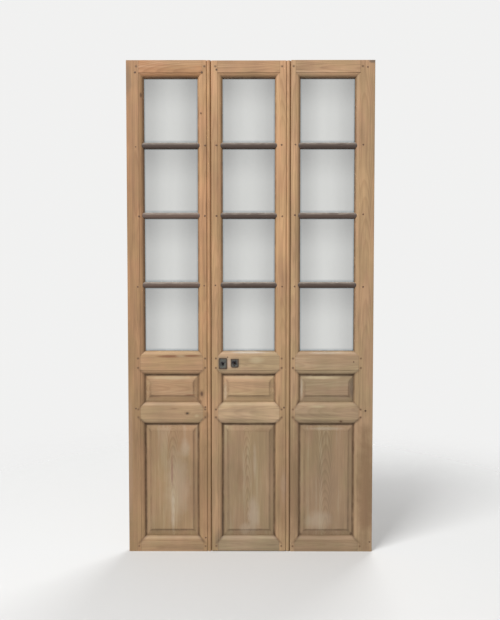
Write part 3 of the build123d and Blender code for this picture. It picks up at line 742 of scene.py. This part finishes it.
# Bars whose wood is lighter than that of the others
bar_tones = {
    "left_glazing_bar_1": 1.6, "left_glazing_bar_2": 2.0, "right_glazing_bar_2": 1.3,
}

# The face that the small pins and old nails sit in, and how far their heads stand out of it
pin_front = -0.018
pin_rise = 0.0008

# The place and radius of each
pin_places = {
    "left": [
        (-0.602, 2.152, 0.0040), (-0.238, 2.159, 0.0055), (-0.587, 1.790, 0.0050),
        (-0.240, 1.792, 0.0050), (-0.596, 1.419, 0.0045), (-0.603, 2.537, 0.0055),
        (-0.254, 2.537, 0.0065), (-0.245, 1.425, 0.0040), (-0.260, 2.327, 0.0035),
        (-0.610, 0.771, 0.0050), (-0.240, 0.779, 0.0050), (-0.240, 0.074, 0.0045),
    ],
    "door": [
        (-0.179, 2.160, 0.0055), (0.163, 2.162, 0.0050), (-0.179, 1.792, 0.0050),
        (0.167, 1.790, 0.0050), (-0.185, 1.427, 0.0045), (0.167, 1.421, 0.0045),
        (-0.178, 2.551, 0.0060), (0.178, 0.777, 0.0050), (-0.122, 1.046, 0.0032),
    ],
    "right": [
        (0.235, 2.164, 0.0045), (0.590, 2.163, 0.0050), (0.233, 1.796, 0.0050),
        (0.592, 1.800, 0.0050), (0.233, 1.421, 0.0045), (0.594, 1.419, 0.0045),
        (0.611, 2.564, 0.0050), (0.547, 1.021, 0.0040), (0.611, 0.760, 0.0055),
        (0.638, 0.052, 0.0045),
    ],
}

# The front plates: their holes, how far the dark reaches around these, and their nails
plates = (
    ("keyhole_plate", (-0.146, 1.012), 0.016, [(-0.130, 0.989), (-0.161, 1.036)]),
    ("pull_plate", (-0.084, 1.014), 0.020, [(-0.098, 1.031), (-0.069, 0.998)]),
)
nail_radius = 0.0026
nail_ring = 0.0027

# How often the patterns of the glazing bars repeat in a metre, across the grain and along it
bar_fibre_scale = (380.0, 8.0)
bar_worn_scale = (90.0, 20.0)

# The dirt and painted shade on the glass, in widths of its film: the film of dirt above a bar and
# below one, and the painted shade inwards from the sides and downwards from a bar
film_above = 1.5
film_below = 0.7
shade_inwards = 11
shade_downwards = 16

# The stage, in metres, and the camera's turns down and round, in degrees
floor_half = 9
floor_fade = (0.9, 3.2)
key_place = (-4.6, -6.2, 10.0)
back_place = (2.6, 7.0, 9.5)
lamp_sides = (5.0, 3.0)
lamp_aim = (0.0, 0.0, 1.3)
camera_x = 0.0133
camera_turn = (2.668, 0.230)


class DressStiles(bpy.types.Operator):
    """Gives the six stiles their pine, with the grain running up."""

    bl_idname = "pine_door.dress_stiles"
    bl_label = "Dress the stiles"

    def execute(self, context):
        stiles = {
            "left": ("left_outer_stile", "left_meeting_stile"),
            "door": ("door_lock_stile", "door_hinge_stile"),
            "right": ("right_meeting_stile", "right_outer_stile"),
        }
        number = 0
        for leaf, pair in stiles.items():
            for side, node in enumerate(pair):
                outwards = 2 * side - 1
                peg_x = sight(leaf)[side] + outwards * (moulding + peg_setback)
                stains = [(peg_x, up, *peg_stain, stain_brown, 0.60) for up in peg_heights]
                material = pine(
                    f"pine_{node}", "Z", middle_of(node, 0), board_tones[node],
                    lean=0.006 + 0.004 * (number % 3), heart=0.055 + 0.02 * side, rings=0.30,
                    marks=stains + board_marks.get(node, []), holes=openings_of(leaf),
                    bead_edge=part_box(node)[side].x, seed=number * 7.3,
                )
                dress(node, material)
                number += 1
        return {"FINISHED"}


class DressRails(bpy.types.Operator):
    """Gives the twelve rails their pine, with the grain running across."""

    bl_idname = "pine_door.dress_rails"
    bl_label = "Dress the rails"

    def execute(self, context):
        # The openings that each rail lies beside
        rails = {
            "bottom_rail": slice(0, 1), "middle_rail": slice(0, 2),
            "lock_rail": slice(1, 3), "top_rail": slice(2, 3),
        }
        number = 0
        for leaf in leaf_names:
            shoulders = (sight(leaf)[0] - moulding, sight(leaf)[1] + moulding)
            for rail, beside in rails.items():
                node = f"{leaf}_{rail}"
                number += 1
                material = pine(
                    f"pine_{node}", "X", middle_of(node, 2), board_tones[node],
                    lean=0.03 if number % 2 else -0.03, heart=0.06 + 0.012 * (number % 3),
                    rings=0.32, pale=0.2, old=0.45 if rail == "top_rail" else 1.0,
                    marks=board_marks.get(node, ()), holes=openings_of(leaf)[beside],
                    joints=shoulders, seed=number * 5.9 + 50,
                )
                dress(node, material)
        return {"FINISHED"}


class DressPanels(bpy.types.Operator):
    """Gives the six raised panels their pine, with arched rings up the tall ones."""

    bl_idname = "pine_door.dress_panels"
    bl_label = "Dress the panels"

    def execute(self, context):
        panels = (
            ("lower_panel", "Z", 0, lower_sight, {"lean": 0.075, "rings": 0.6, "pale": 0.5}),
            ("frieze_panel", "X", 2, frieze_sight, {"lean": 0.03, "rings": 0.4, "pale": 0.2}),
        )
        number = 0
        for leaf in leaf_names:
            for (panel, along, axis, heights, grain), opening in zip(panels, openings_of(leaf)):
                node = f"{leaf}_{panel}"
                number += 1
                material = pine(
                    f"pine_{node}", along, middle_of(node, axis), board_tones[node],
                    heart=0.10 + 0.01 * (number % 3), streaks=0.7,
                    marks=board_marks.get(node, ()), holes=[opening, field_of(leaf, heights)],
                    seed=number * 11.7 + 100, **grain,
                )
                dress(node, material)
        return {"FINISHED"}


class DressBeads(bpy.types.Operator):
    """Gives the beads behind the glass the same pine."""

    bl_idname = "pine_door.dress_beads"
    bl_label = "Dress the glazing beads"

    def execute(self, context):
        for number, leaf in enumerate(leaf_names):
            node = f"{leaf}_glazing_beads"
            dress(node, pine(f"pine_{node}", "Z", middle_of(node, 0), seed=number * 3.1 + 200))
        return {"FINISHED"}


class DressBars(bpy.types.Operator):
    """Gives the nine glazing bars dark pine with worn, dusty upper edges that carry a painted
    highlight.
    """

    bl_idname = "pine_door.dress_bars"
    bl_label = "Dress the glazing bars"

    def execute(self, context):
        bars = context.scene.door_bars
        nodes = [f"{leaf}_glazing_bar_{place}" for leaf in leaf_names for place in (1, 2, 3)]
        for number, node in enumerate(nodes, start=1):
            finish = Finish(f"bar_pine_{node}", Roughness=0.7)
            x, y, z = finish.places()
            up = finish.facing()[2]
            wide, long = bar_fibre_scale
            fibre = finish.noise(finish.point(x * long, y * wide, z * wide), 3.0, 0.6)
            wide, long = bar_worn_scale
            worn = finish.noise(finish.point(x * long, y * wide, z * wide + number), 3.0, 0.6)
            # Painted highlight with dust: the edges that face up are lighter
            lit = finish.smooth(up + (worn - 0.5) * 0.8, 0.15, 0.85)
            wood = opaque(bars.wood, bar_tones.get(node, 1.0))
            colour = finish.mix(lit * 0.75, wood, opaque(bars.upper_dust_and_highlight))
            shade = 0.72 + fibre * 0.35 + worn * 0.2
            colour = finish.mix(1.0, colour, finish.grey(shade), "MULTIPLY")
            finish.give("Base Color", colour)
            finish.give("Roughness", 0.58 + fibre * 0.2)
            finish.bump(fibre + worn * 0.5, 0.0004)
            dress(node, finish.material)
        return {"FINISHED"}


class DressPegs(bpy.types.Operator):
    """Gives the pegs dark end grain."""

    bl_idname = "pine_door.dress_pegs"
    bl_label = "Dress the pegs"

    def execute(self, context):
        finish = Finish("peg_end_grain", Roughness=0.7)
        x, y, z = finish.places()
        speck = finish.noise(finish.point(x * 900.0, y * 60.0, z * 900.0), 2.0, 0.6)
        patch = finish.grains((x, y, z), 22.0, 2.0, 0.5)
        colour = finish.mix(patch, (0.085, 0.045, 0.022, 1), (0.25, 0.145, 0.075, 1))
        colour = finish.mix(1.0, colour, finish.grey(0.7 + speck * 0.6), "MULTIPLY")
        finish.give("Base Color", colour)
        finish.bump(speck, 0.0004)
        for leaf in leaf_names:
            dress(f"{leaf}_pegs", finish.material)
        return {"FINISHED"}


class AddPins(bpy.types.Operator):
    """Adds the small pins that hold the tenons of the glazing bars, and the odd old nail."""

    bl_idname = "pine_door.add_pins"
    bl_label = "Add the small pins"

    def execute(self, context):
        finish = Finish("pin_dark", Roughness=0.65)
        place = finish.places()
        rust = finish.grains(place, 500.0)
        patch = finish.grains(place, 9.0, 2.0, 0.5)
        colour = finish.mix(patch, (0.050, 0.026, 0.015, 1), (0.17, 0.085, 0.040, 1))
        colour = finish.mix(1.0, colour, finish.grey(0.6 + rust * 0.8), "MULTIPLY")
        finish.give("Base Color", colour)
        finish.bump(rust, 0.0005)
        for leaf, places in pin_places.items():
            mesh = bpy.data.meshes.new(f"{leaf}_pins")
            shape = bmesh.new()
            for number, (pin_x, pin_z, radius) in enumerate(places):
                # Hammered heads are not quite round
                high = radius * (0.85 + 0.1 * (number % 3))
                wide = Matrix.Diagonal((radius, pin_rise, high, 1.0))
                place = Matrix.Translation((pin_x, pin_front, pin_z))
                turn = Matrix.Rotation(0.7 * number, 4, "Y")
                bmesh.ops.create_uvsphere(
                    shape, u_segments=16, v_segments=10, radius=1.0, matrix=place @ turn @ wide
                )
            for face in shape.faces:
                face.smooth = True
            shape.to_mesh(mesh)
            shape.free()
            mesh.materials.append(finish.material)
            pins = bpy.data.objects.new(f"{leaf}_pins", mesh)
            context.scene.collection.objects.link(pins)
            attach(pins, "door" if leaf == "door" else "sidelights")
        return {"FINISHED"}


class DressGlass(bpy.types.Operator):
    """Gives the panes clear glass with a film of dirt along their edges, and painted shade at
    their sides and under the bars.
    """

    bl_idname = "pine_door.dress_glass"
    bl_label = "Dress the glass"

    def execute(self, context):
        glass = context.scene.door_glass
        for leaf in leaf_names:
            node = f"{leaf}_panes"
            finish = Finish(f"glass_{node}", Roughness=0.03, IOR=1.45, Transmission_Weight=1.0)
            x, _, z = finish.places()
            width = glass.film_width
            cloud = finish.noise(finish.point(x * 30.0, 0.0, z * 30.0), 3.0, 0.6)
            streak = finish.noise(finish.point(x * 9.0, 0.0, z * 0.8))
            wave = finish.noise(finish.point(x * 7.0, 0.0, z * 4.0), 1.0)

            # The film of dirt lies along all edges, and painted shade at the sides and under the
            # bars
            sideways = beyond(x, *sight(leaf))
            film = finish.smooth(sideways, -width, 0.0)
            # Painted shade: darker in from the sides and down from each bar
            pane_shade = finish.smooth(sideways, -width * shade_inwards, 0.0)
            for bottom, top in pane_heights():
                film = film + (1 - finish.smooth(abs(z - bottom), 0.0, width * film_above))
                film = film + (1 - finish.smooth(abs(z - top), 0.0, width * film_below))
                below = top - z
                under = 1 - finish.smooth(below, 0.0, width * shade_downwards)
                pane_shade = pane_shade + under * finish.smooth(below, -0.02, 0.0) * 0.9
            colour = finish.mix(pane_shade * 0.50, opaque(glass.tint), opaque(glass.pane_shade))
            colour = finish.mix(film * (0.40 + cloud * 0.6), colour, opaque(glass.film))
            colour = finish.mix(1.0, colour, finish.grey(0.93 + streak * 0.14), "MULTIPLY")
            finish.give("Base Color", colour)
            finish.bump(wave, 0.0006)
            dress(node, finish.material)
        return {"FINISHED"}


class DressIron(bpy.types.Operator):
    """Gives the lock, its keeper and the hinges blackened, lightly rusted iron."""

    bl_idname = "pine_door.dress_iron"
    bl_label = "Dress the ironwork"

    def execute(self, context):
        metal = context.scene.door_metal
        finish = Finish("blackened_iron", Metallic=0.9, Roughness=0.55)
        place = finish.places()
        fine = finish.grains(place, 350.0)
        rusty = finish.grains(place, 38.0, 4.0, 0.65)
        rust = finish.smooth(rusty, 0.50, 0.72)
        colour = finish.mix(rust, opaque(metal.iron), opaque(metal.rust))
        colour = finish.mix(1.0, colour, finish.grey(0.75 + fine * 0.5), "MULTIPLY")
        finish.give("Base Color", colour)
        finish.give("Roughness", 0.42 + fine * 0.15 + rust * 0.3)
        finish.give("Metallic", 0.9 - rust * 0.7)
        finish.bump(fine * 0.6 + rusty, 0.0006)
        iron = [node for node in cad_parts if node.startswith("hinge_")]
        iron += ["lock_case", "lock_cap", "lock_bolt", "bolt_spring", "lock_nails", "keeper"]
        for node in iron:
            dress(node, finish.material)
        return {"FINISHED"}


class DressPlates(bpy.types.Operator):
    """Gives the two front plates worn metal, dark around the holes, with filed nail heads."""

    bl_idname = "pine_door.dress_plates"
    bl_label = "Dress the front plates"

    def execute(self, context):
        metal = context.scene.door_metal
        dark = opaque(metal.plate_dark)
        for node, (hole_x, hole_z), reach, nails in plates:
            finish = Finish(f"worn_{node}", Metallic=0.6, Roughness=0.5)
            x, y, z = finish.places()
            fine = finish.grains((x, y, z), 300.0)
            cloud = finish.grains((x, y, z), 60.0)
            low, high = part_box(node)
            rim = beyond(x, low.x, high.x).most(beyond(z, low.z, high.z))
            edge = finish.smooth(rim + (cloud - 0.5) * 0.02, -0.010, 0.0)
            colour = finish.mix(edge * 0.75, opaque(metal.plate), opaque(metal.rust, 0.6))
            off = finish.length(x - hole_x, z - hole_z) + (cloud - 0.5) * 0.03
            colour = finish.mix(1 - finish.smooth(off, reach * 0.3, reach), colour, dark)
            colour = finish.mix(1.0, colour, finish.grey(0.4 + cloud * 1.2), "MULTIPLY")
            height = fine * 0.6 + cloud
            for nail_x, nail_z in nails:
                near = finish.length(x - nail_x, z - nail_z)
                ring = 1 - finish.smooth(abs(near - nail_ring), 0.0, nail_ring / 3)
                colour = finish.mix(ring * 0.85, colour, dark)
                height = height + (1 - finish.smooth(near, 0.0, nail_radius)) * 1.5
            finish.give("Base Color", colour)
            finish.give("Roughness", 0.35 + fine * 0.25)
            finish.bump(height, 0.0004)
            dress(node, finish.material)
        return {"FINISHED"}


class BuildStage(bpy.types.Operator):
    """Makes the floor, the light and the camera."""

    bl_idname = "pine_door.build_stage"
    bl_label = "Build the stage"

    def execute(self, context):
        stage = context.scene.door_stage
        scene = context.scene
        scene.view_settings.view_transform = "Standard"

        # The floor fades out before its edges
        mesh = bpy.data.meshes.new("floor")
        half = floor_half
        corners = [(-half, -half, 0), (half, -half, 0), (half, half, 0), (-half, half, 0)]
        mesh.from_pydata(corners, [], [(0, 1, 2, 3)])
        floor = bpy.data.objects.new("floor", mesh)
        scene.collection.objects.link(floor)
        pale = Finish("floor_pale", Base_Color=opaque(stage.floor), Roughness=0.9)
        x, y, _ = pale.places()
        pale.fade(pale.smooth(pale.length(x, y * 0.8), *floor_fade))
        mesh.materials.append(pale.material)

        # The eye, mirrors and glass see the background. All else is lit evenly
        world = bpy.data.worlds.new("studio")
        scene.world = world
        world.use_nodes = True
        world.node_tree.nodes.clear()
        sky = Nodes(world.node_tree)
        camera_ray, glossy_ray, clear_ray = (
            sky.node("ShaderNodeLightPath", output=f"Is {kind} Ray")
            for kind in ("Camera", "Glossy", "Transmission")
        )
        even = sky.node(
            "ShaderNodeBackground", {}, {"Color": opaque((1, 1, 1)), "Strength": stage.fill}
        )
        seen = sky.node("ShaderNodeBackground", {}, {"Color": opaque(stage.background)})
        direct = camera_ray.most(glossy_ray).most(clear_ray)
        mixed = sky.node("ShaderNodeMixShader", {}, {0: direct, 1: even, 2: seen})
        sky.node("ShaderNodeOutputWorld", {}, {"Surface": mixed})

        for name, power, place in (
            ("key_lamp", stage.key, key_place), ("back_lamp", stage.back, back_place)
        ):
            lamp = bpy.data.lights.new(name, "AREA")
            lamp.shape = "RECTANGLE"
            lamp.size, lamp.size_y = lamp_sides
            lamp.energy = power
            held = bpy.data.objects.new(name, lamp)
            scene.collection.objects.link(held)
            held.location = place
            aim = Vector(lamp_aim) - held.location
            held.rotation_euler = aim.to_track_quat("-Z", "Y").to_euler()

        view = bpy.data.cameras.new("camera")
        view.lens = stage.lens
        view.sensor_width = 36.0
        view.clip_start = 0.05
        view.clip_end = 60.0
        camera = bpy.data.objects.new("camera", view)
        scene.collection.objects.link(camera)
        camera.location = (camera_x, -stage.distance, stage.height)
        down, round_up = [math.radians(angle) for angle in camera_turn]
        camera.rotation_euler = Euler((math.pi / 2 - down, 0, round_up))
        scene.camera = camera
        return {"FINISHED"}


operators = (
    DressStiles, DressRails, DressPanels, DressBeads, DressBars,
    DressPegs, AddPins, DressGlass, DressIron, DressPlates, BuildStage,
)


class PineDoorPanel(bpy.types.Panel):
    """Lists the steps and settings of the row."""

    bl_idname = "VIEW3D_PT_pine_door"
    bl_label = "Pine door"
    bl_space_type = "VIEW_3D"
    bl_region_type = "UI"
    bl_category = "Pine door"

    def draw(self, context):
        for operator in operators:
            self.layout.operator(operator.bl_idname)
        for name, group in settings_of.items():
            box = self.layout.box()
            for setting in group.__annotations__:
                box.prop(getattr(context.scene, name), setting)


def register():
    for group in settings_of.values():
        bpy.utils.register_class(group)
    for name, group in settings_of.items():
        setattr(bpy.types.Scene, name, PointerProperty(type=group))
    for operator in operators:
        bpy.utils.register_class(operator)
    bpy.utils.register_class(PineDoorPanel)


def unregister():
    bpy.utils.unregister_class(PineDoorPanel)
    for operator in reversed(operators):
        bpy.utils.unregister_class(operator)
    for name in settings_of:
        delattr(bpy.types.Scene, name)
    for group in reversed(settings_of.values()):
        bpy.utils.unregister_class(group)


def main():
    register()
    for operator in operators:
        group, step = operator.bl_idname.split(".")
        getattr(getattr(bpy.ops, group), step)()


if __name__ == "__main__":
    main()
